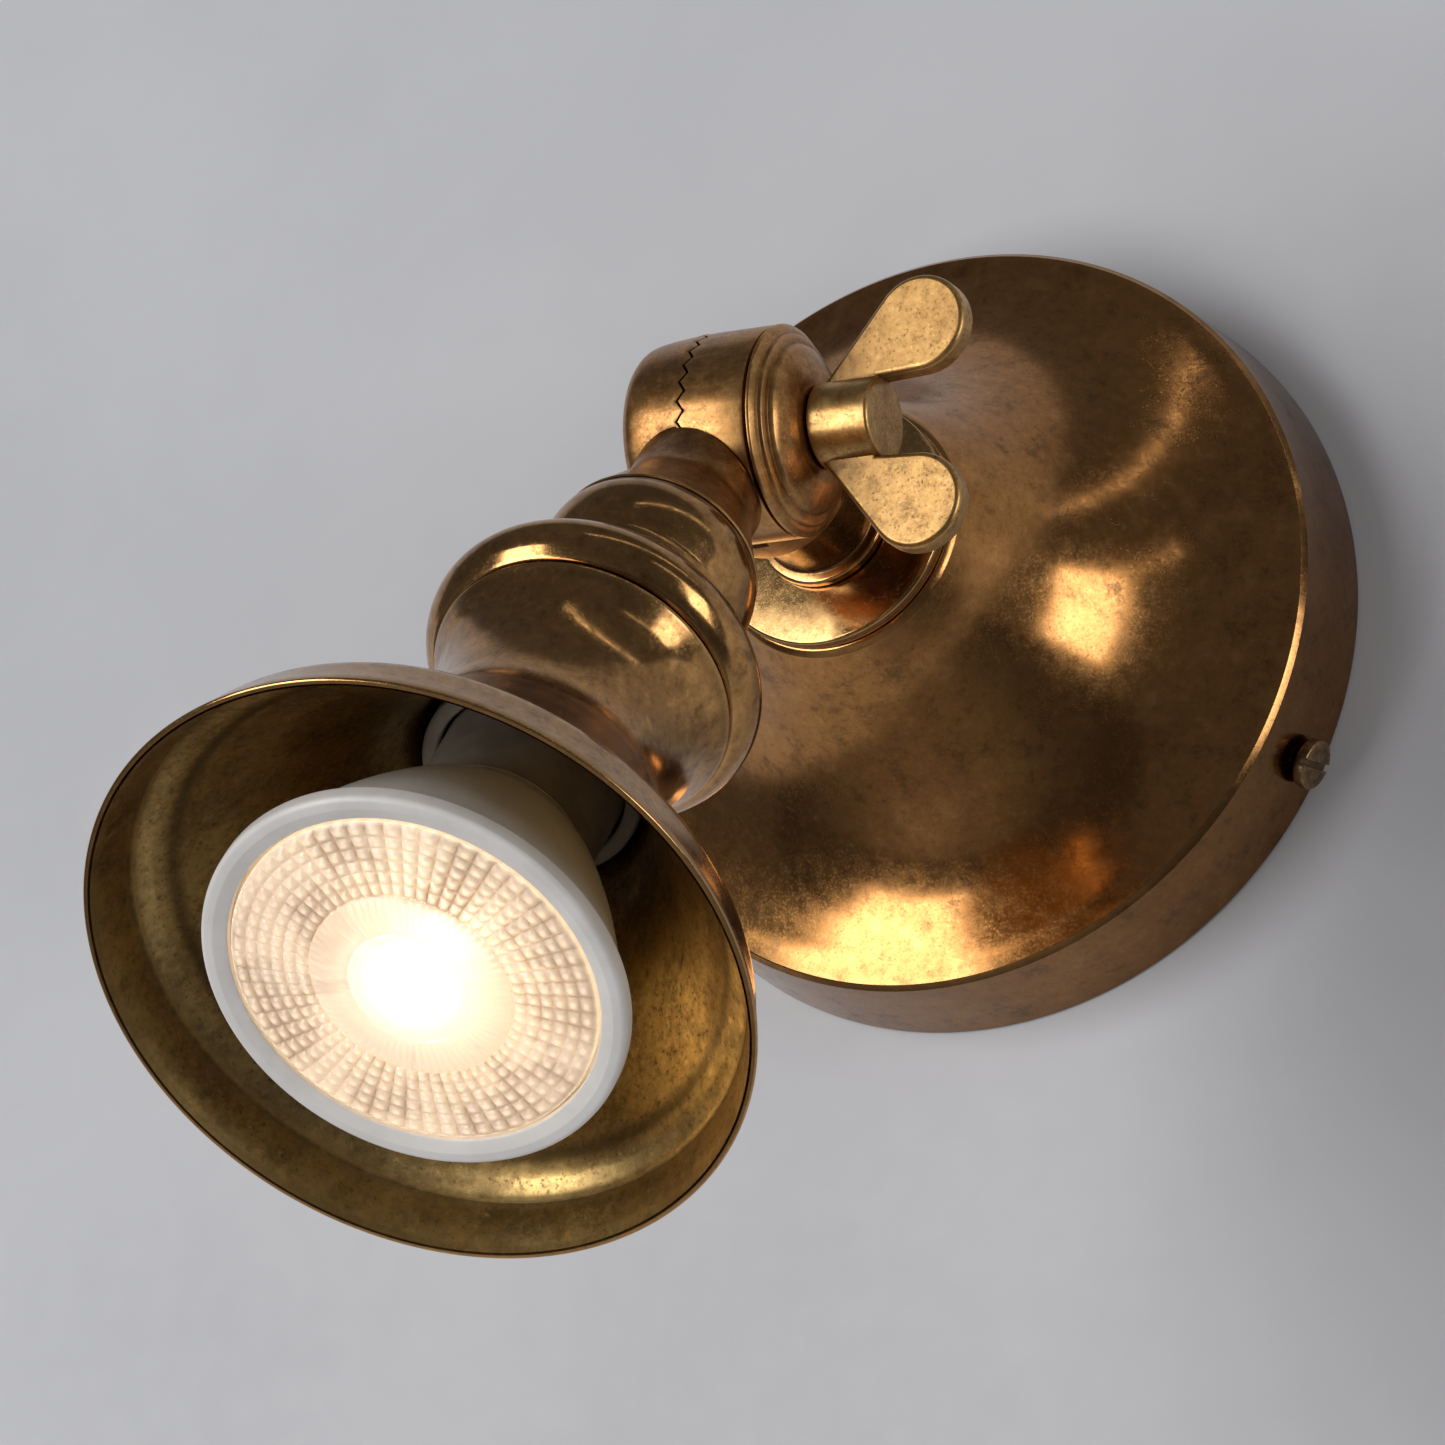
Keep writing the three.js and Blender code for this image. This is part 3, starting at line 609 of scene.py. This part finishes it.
moving = turned("knuckle_moving_half", KNUCKLE,
                outline([(0, -8.0), (10.4, -8.0, 0.3)], loop=False)[:1]
                + curve([(10.1, -8.0), (10.8, -7.9), (11.4, -7.5), (12.1, -6.5), (12.5, -4.6), (12.75, -2),
                         (BARREL, 0.0)], 5)
                + [(BARREL - 0.06, SEAM), (0, SEAM)], TOOTH_FLATS, toothed(-1))
neck_line = curve([(8.3, 6), (8.35, 11), (8.4, 16.5), (9.3, 19.5), (10.7, 23), (12, 26), (12.6, 27.3)], 6)
neck = turned("neck", HEAD, [(0, 6)] + neck_line + [(12.5, 27.6), (0, 27.6)], 160)
combine(neck, cut=[rod(KNUCKLE, BARREL + 0.35, SEAM - 0.55, 14, 192)])
combine(moving, add=[neck], cut=[rod(KNUCKLE, CAVITY, -4.2, 1.7), rod(HEAD, 5.1, 5, 30),
                                 rod(KNUCKLE, 9.1, -9, -7.3), rod(KNUCKLE, 5.35, -9, -5.9, 6),
                                 rod(KNUCKLE, 2.7, -7, 0)])
finish_piece(moving, "knuckle_moving_half", "lamp_head", barrel_look, ["knuckle_head"],
             angle=26)

cover = turned("cover", KNUCKLE, outline([(0, -7.35), (8.8, -7.35), (8.8, -8.1, 0.25)], loop=False)[:-1]
               + curve([(8.7, -8.1), (7.8, -8.3), (6.6, -8.5), (3.4, -8.72), (0, -8.8)], 5))
finish_piece(cover, "knuckle_side_disc", "lamp_head", aged, ["knuckle_side_cover"])

cap_line = (
    [(2.8, 0)]
    + outline([(12.7, 0), (13.0, 0.15, 0.12), (12.95, 0.5, 0.3), (12.25, 0.95, 0.2), (11.75, 1.1, 0.15),
               (11.6, 1.55, 0.2), (11.0, 1.75, 0.2), (10.45, 1.85, 0.15), (10.2, 2.35, 0.2)], loop=False)
    + curve([(10.05, 2.5), (9.4, 2.95), (8.1, 3.6), (6.9, 4.0)], 5)
    + [(6.5, 4.05), (2.8, 4.05)]
)
cap = turned("cap", KNUCKLE @ Matrix.Translation((0, CAP_START, 0)), cap_line)
finish_piece(cap, "pressure_cap_turning", "nut_carriage", barrel_look, ["pressure_cap"])


def touch_angle(x, y, side):
    """Where a straight edge from (x, y) meets the wing's round tip, as an angle on that tip."""
    dx, dy = WING_RISE - x, WING_CENTRE - y
    spread = math.asin(WING_TIP / math.hypot(dx, dy))
    return math.atan2(dy, dx) - side * (spread + math.pi / 2)


def wing(turn):
    """One drop-shaped wing, flat on both faces with a rounded edge."""
    root, near, far = 4.9, NUT_START + 0.4, NUT_END - 0.6
    first, last = touch_angle(root, near, 1), touch_angle(root, far, -1)
    if last < first:
        last += 2 * math.pi
    line = [(3.0, near), (root, near)]
    for i in range(49):
        angle = first + (last - first) * i / 48
        line.append((WING_RISE + WING_TIP * math.cos(angle), WING_CENTRE + WING_TIP * math.sin(angle)))
    line += [(root, far), (3.0, far)]
    edge, steps = 0.7, 6
    layers = []
    for i in range(steps + 1):
        angle = math.pi / 2 * i / steps
        layers.append((edge * (1 - math.sin(angle)), -WING_THICK / 2 + edge * (1 - math.cos(angle))))
    layers += [(depth, -height) for depth, height in reversed(layers)]
    count = len(line)
    verts = []
    for depth, height in layers:
        for i, point in enumerate(line):
            before, after = Vector(line[i - 1]), Vector(line[(i + 1) % count])
            along = (after - before).normalized()
            inward = Vector((-along.y, along.x))
            verts.append((point[0] + inward.x * depth, point[1] + inward.y * depth, height))
    faces = []
    for k in range(len(layers) - 1):
        for i in range(count):
            n = (i + 1) % count
            faces.append((k * count + i, k * count + n, (k + 1) * count + n, (k + 1) * count + i))
    top = (len(layers) - 1) * count
    faces.append(tuple(range(count - 1, -1, -1)))
    faces.append(tuple(top + i for i in range(count)))
    made = new_object("wing", verts, faces)
    spin = Matrix.Rotation(math.pi / 2 + math.radians(NUT_TURN) + turn, 4, "Y")
    made.data.transform(Matrix.Scale(MM, 4) @ KNUCKLE @ spin)
    tidy_normals(made)
    return made


nut = turned("nut", KNUCKLE, outline([
    (0, NUT_START), (NUT_RADIUS, NUT_START, 0.3), (NUT_RADIUS, NUT_END, 0.55), (0, NUT_END)], loop=False))
combine(nut, add=[wing(0), wing(math.pi)], cut=[rod(KNUCKLE, 2.7, 12, 20.8)])
soften(nut, 0.3, 3, 40)
weighted = nut.modifiers.new("weighted", "WEIGHTED_NORMAL")
weighted.keep_sharp = True
finish_piece(nut, "wing_nut_casting", "nut", worn, ["wing_nut"], angle=40)
apply_modifiers(nut)

# ---- head ------------------------------------------------------------------------------

ball_line = (
    [(5.1, 27.9)]
    + outline([(12.2, 27.9), (12.6, 28.0, 0.2), (12.75, 28.5)], loop=False)
    + curve([(12.8, 28.6), (13.1, 29.6), (13.2, 31.1), (12.9, 33.1), (12.2, 35.1), (11.75, 36.3)], 6)
    + [(11.6, 36.6), (11.6, 37.7), (5.1, 37.7)]
)
ball = turned("ball", HEAD, ball_line)
finish_piece(ball, "neck_bead", "lamp_head", aged, ["neck_ball"])

gallery_line = (
    [(5.1, 38.0), (11.8, 38.0)]
    + curve([(12.1, 38.1), (13.8, 40.3), (15.9, 43.1), (18.1, 45.8), (19.7, 48), (20.35, 49.7), (20.2, 51.3),
             (19.5, 52.7), (18.6, 53.7)], 6)
    + [(18.3, 54.0), (18.1, 54.05), (16.8, 54.05)]
    + curve([(17.4, 52), (17.6, 49.6), (16.6, 47), (14.4, 43.8), (12, 41), (11, 40.2)], 4)
    + [(5.1, 40.2)]
)
gallery = turned("gallery", HEAD, gallery_line)
finish_piece(gallery, "gallery_cup", "lamp_head", aged, ["gallery"])

shade_line = (
    [(17.85, 54.35), (18.0, 54.45)]
    + curve([(18.0, 54.7), (17.2, 56.2), (16.3, 58), (15.5, 60.5), (15, 63), (14.8, 66), (14.9, 69),
             (15.4, 72), (16.3, 75), (17.7, 78.1), (19.2, 81), (21, 84), (23, 87), (25.3, 90), (27.8, 93),
             (30.5, 96), (32.8, 98.8), (34.4, 100.6)], 6)
    + curve([(34.9, 101.1), (35.7, 101.8), (36.5, 102.6), (37.1, 103.5)], 5)
    + curve([(37.4, 104.3), (37.95, 105.9), (38.45, 107.3), (39.1, 109.0)], 5)
    + outline([(39.3, 109.5), (39.42, 110.1, 0.3), (38.8, 110.15)], loop=False)[1:]
)
shade = turned("shade", HEAD, shade_line + inset(shade_line, SHADE_SHEET), 256)
store_from_axis(shade, HEAD)
finish_piece(shade, "shade_spinning", "lamp_head", [aged, inside_look], ["shade"], reach=0.7)
axis = (HEAD.to_3x3() @ Vector((0, 1, 0))).normalized()
for polygon in shade.data.polygons:
    spoke = polygon.center / MM - HEAD_START
    spoke -= axis * spoke.dot(axis)
    polygon.material_index = 1 if polygon.normal.dot(spoke.normalized()) < -0.05 else 0

# ---- lampholder ------------------------------------------------------------------------

holder = turned("holder", HEAD, outline([
    (0, 44.2), (12.2, 44.2), (13.2, 45.2, 0.3), (13.2, 55.0), (13.0, 55.3), (13.0, 56.5), (13.2, 56.8),
    (13.2, 72.3, 0.55), (11.3, 72.3, 0.4), (11.3, 57), (0, 57)], loop=False), 128)
ways = []
for turn in (0, math.pi):
    for step in range(5):
        angle = turn + math.radians(4 * step)
        pin = (PIN_OFFSET * math.cos(angle), 0, -PIN_OFFSET * math.sin(angle))
        ways.append(rod(HEAD, 2.8, 46.6, 58, 32, pin))
for side in (-1, 1):
    screw_place = (0, 0, HOLDER_SCREW_OFFSET * side)
    ways.append(rod(HEAD, 1.7, 43, 58, 32, screw_place))
    ways.append(rod(HEAD, 3.0, 54.6, 58, 32, screw_place))
combine(holder, cut=ways)
finish_piece(holder, "lampholder_fired_body", "lamp_head", steatite, ["lampholder"])

# ---- lamp ------------------------------------------------------------------------------

lamp_base = turned("lamp_base", HEAD, outline([
    (0, 57.4), (9.6, 57.4, 0.3), (10.6, 58.4, 0.4), (10.9, 60.4, 1), (10.9, 72), (10.9, 85.0), (0, 85.0)],
    loop=False))
finish_piece(lamp_base, "lamp_cap_end", "lamp", lamp_white_shaded, ["lamp_base"])

body_line = curve([(11.0, 85.25), (12.3, 87.3), (14.4, 89.9), (16.4, 93.2), (18.6, 97.2), (20.8, 101.9),
                   (22.3, 106.2), (23.1, 108.9)], 8)
lamp_body = turned("lamp_body", HEAD, body_line + inset(body_line, 1.4))
finish_piece(lamp_body, "lamp_reflector_body", "lamp", lamp_white, ["lamp_body"])

front_ring = turned("front_ring", HEAD, outline([
    (22.4, 109.15), (24.9, 109.15, 0.5), (24.9, LAMP_FRONT, 0.7), (23.4, LAMP_FRONT + 0.05, 0.4),
    (21.8, LAMP_FRONT - 0.5, 0.3), (21.8, LAMP_FRONT - 1.4), (22.4, LAMP_FRONT - 1.8)]))
finish_piece(front_ring, "lamp_bezel", "lamp", lamp_white, ["lamp_front_ring"])

LENS_COLUMNS = 60
LENS_SPOKES = 72
LENS_ROW = 1.52
LENS_FACETS = (12.0, 21.1)  # where the facets start and end, as radii


def cushion(r, angle):
    """How high a facet stands at one place on the lens, from 0 in a groove to 1 on its middle."""
    if r < LENS_FACETS[0] or r > LENS_FACETS[1]:
        return None
    across = abs(math.sin(angle * LENS_COLUMNS / 2))
    along = abs(math.sin(math.pi * (r - LENS_FACETS[0]) / LENS_ROW))
    return (across * along) ** 0.6


def facets(r, y, angle):
    """Rows and columns of small cushions over the outer part of the lens, and faint spokes inside them."""
    if y < LAMP_FRONT - 0.6:
        return r, y
    height = cushion(r, angle)
    if height is None:
        spoke = math.sin(angle * LENS_SPOKES) if 7.6 < r < 11.6 else 0
        return r, y - 0.2 + 0.03 * spoke
    return r, y - 0.55 + 0.45 * height


lens_back = [(0, 109.4), (12, 109.4), (20.8, 109.4), (21.4, 109.9), (21.4, LAMP_FRONT - 0.4)]
lens_facets = [(21.0 - 0.18 * i, LAMP_FRONT + 0.1 + 0.01 * i) for i in range(52)]
lens_middle = [(10.0, 112.65), (8.2, 112.65), (7.4, 112.65), (7.2, 112.45), (7.0, 112.65), (5.0, 112.7),
               (2.5, 112.72), (0, 112.72)]
lens = turned("lens", HEAD, lens_back + lens_facets + lens_middle, LENS_COLUMNS * 8, facets)
store_from_axis(lens, HEAD)
back_to_head = (Matrix.Scale(MM, 4) @ HEAD).inverted()
layer = lens.data.attributes.new("facet", "FLOAT", "POINT")
for i, v in enumerate(lens.data.vertices):
    q = back_to_head @ v.co
    height = cushion(math.hypot(q.x, q.z), math.atan2(-q.z, q.x))
    layer.data[i].value = 1.0 if height is None else height
finish_piece(lens, "lamp_faceted_lens", "lamp", lens_look, ["lamp_lens"], angle=50, edges=False)

board = turned("board", HEAD, outline([
    (0, 100), (17.4, 100, 0.2), (17.4, 101.6, 0.2), (15, 101.6), (10, 101.6), (6, 101.6), (0, 101.6)],
    loop=False))
store_from_axis(board, HEAD)
finish_piece(board, "lamp_lit_board", "lamp", board_look, ["lamp_led_board"])

emitter = turned("emitter", HEAD, outline([
    (0, 101.9), (6.5, 101.9, 0.2), (6.5, 102.9, 0.3), (4.5, 103.1), (2, 103.15), (0, 103.15)], loop=False))
store_from_axis(emitter, HEAD)
finish_piece(emitter, "lamp_lit_emitter", "lamp", emitter_look, ["lamp_led_emitter"])

# ---- looks for the CAD nodes that stay ---------------------------------------------------

kept = {
    zinc: ["wall_bracket", "earth_screw", "stem_lock_washer", "clamp_bolt", "holder_screw_upper",
           "holder_screw_lower", "lamp_pin_left", "lamp_pin_right"],
    bright_brass: ["terminal_screw_live", "terminal_screw_earth", "terminal_screw_neutral", "earth_tag",
                   "stem_nipple", "stem_lock_nut", "head_nipple", "head_lock_nut",
                   "holder_contact_upper", "holder_contact_lower"],
    block_plastic: ["terminal_block"],
    sheath: ["supply_flex_stem", "supply_flex_head"],
    earth_sleeve: ["earth_wire"],
}
for look, names in kept.items():
    for name in names:
        mesh = nodes[name].data
        mesh.materials.clear()
        mesh.materials.append(look)

# ---- studio ------------------------------------------------------------------------------


def staged_plane(name, middle, across, up, look):
    middle, across, up = Vector(middle), Vector(across), Vector(up)
    verts = [middle - across - up, middle + across - up, middle + across + up, middle - across + up]
    made = new_object(name, [tuple(v) for v in verts], [(0, 1, 2, 3)])
    made.data.materials.append(look)
    return made


def painted_wall():
    look = Look("wall_paint")
    tone = look.mix(look.remap(look.noise(60, 4), 0.35, 0.68), (0.72, 0.725, 0.75), (0.68, 0.685, 0.71))
    normal = look.bump(look.noise(2.2, 5, 0.6), 0.05, 0.35)
    normal = look.bump(look.noise(14, 3, 0.5), 0.25, 0.25, normal)
    return look.wire(tone, look.remap(look.noise(5), 0.3, 0.7, 0.55, 0.7), normal)


def pale_floor():
    look = Look("pale_floor")
    tone = look.mix(look.remap(look.noise(90, 4), 0.35, 0.68), (0.42, 0.42, 0.43), (0.36, 0.36, 0.37))
    fine = look.remap(look.noise(6), 0.3, 0.7, 0.6, 0.75)
    return look.wire(tone, fine, look.bump(look.noise(3, 3), 0.1, 0.3))


WALL_BACK = 0.0004  # clear of the rose's back face
FLOOR_DROP = 1.35  # the fitting hangs this far above the floor, in metres
LIGHTS_AIM = Vector((0, -0.08, -0.02))

staged_plane("wall", (0, WALL_BACK, 0), (-3, 0, 0), (0, 0, 3), painted_wall())
staged_plane("floor", (0, -2.2, -FLOOR_DROP), (3, 0, 0), (0, 2.2, 0), pale_floor())


def softbox(name, toward, away, width, height, power, along=(0, 0, 1)):
    """An area light in the direction toward from the fitting. Its height lies along the given direction."""
    data = bpy.data.lights.new(name, "AREA")
    data.shape = "RECTANGLE"
    data.size, data.size_y = width, height
    data.energy = power
    made = bpy.data.objects.new(name, data)
    bpy.context.scene.collection.objects.link(made)
    back = Vector(toward).normalized()
    side = Vector(along).cross(back).normalized()
    basis = Matrix((side, back.cross(side), back)).transposed()
    made.matrix_world = Matrix.Translation(LIGHTS_AIM + back * away) @ basis.to_4x4()
    return made


def direction(azimuth, elevation):
    a, e = math.radians(azimuth), math.radians(elevation)
    return Vector((math.sin(a) * math.cos(e), -math.cos(a) * math.cos(e), math.sin(e)))


softbox("key_left", direction(-31, -10), 1.5, 0.62, 1.46, 15.4)
softbox("fill_right", direction(72, -1), 1.2, 0.36, 0.66, 3.3, along=direction(83, 40))
softbox("strip_top", direction(60, 52), 1.3, 0.022, 1.7, 0.5, along=(0.647, 0.595, -0.243))
softbox("strip_low", direction(60, 22), 1.3, 0.02, 0.5, 0.12, along=(0.62, 0.45, -0.3))

world = bpy.data.worlds.new("studio")
world.use_nodes = True
world.node_tree.nodes["Background"].inputs["Color"].default_value = (0.30, 0.30, 0.32, 1)
world.node_tree.nodes["Background"].inputs["Strength"].default_value = 0.34
bpy.context.scene.world = world
bpy.context.scene.view_settings.view_transform = "Standard"

# ---- camera ------------------------------------------------------------------------------

CAMERA_AIM = Vector((0.0084, -0.0884, -0.0415))
CAMERA_AWAY = 0.9
CAMERA_AZIMUTH, CAMERA_ELEVATION, CAMERA_ROLL = 27.89, -19.94, 3.63
CAMERA_LENS = 191.1

camera_data = bpy.data.cameras.new("camera")
camera_data.lens = CAMERA_LENS
camera_data.sensor_width = 36
camera_data.clip_start = 0.01
camera = bpy.data.objects.new("camera", camera_data)
bpy.context.scene.collection.objects.link(camera)
back = direction(CAMERA_AZIMUTH, CAMERA_ELEVATION)
side = Vector((0, 0, 1)).cross(back).normalized()
basis = Matrix((side, back.cross(side), back)).transposed()
roll = Matrix.Rotation(math.radians(CAMERA_ROLL), 3, back)
camera.matrix_world = Matrix.Translation(CAMERA_AIM + back * CAMERA_AWAY) @ (roll @ basis).to_4x4()
bpy.context.scene.camera = camera
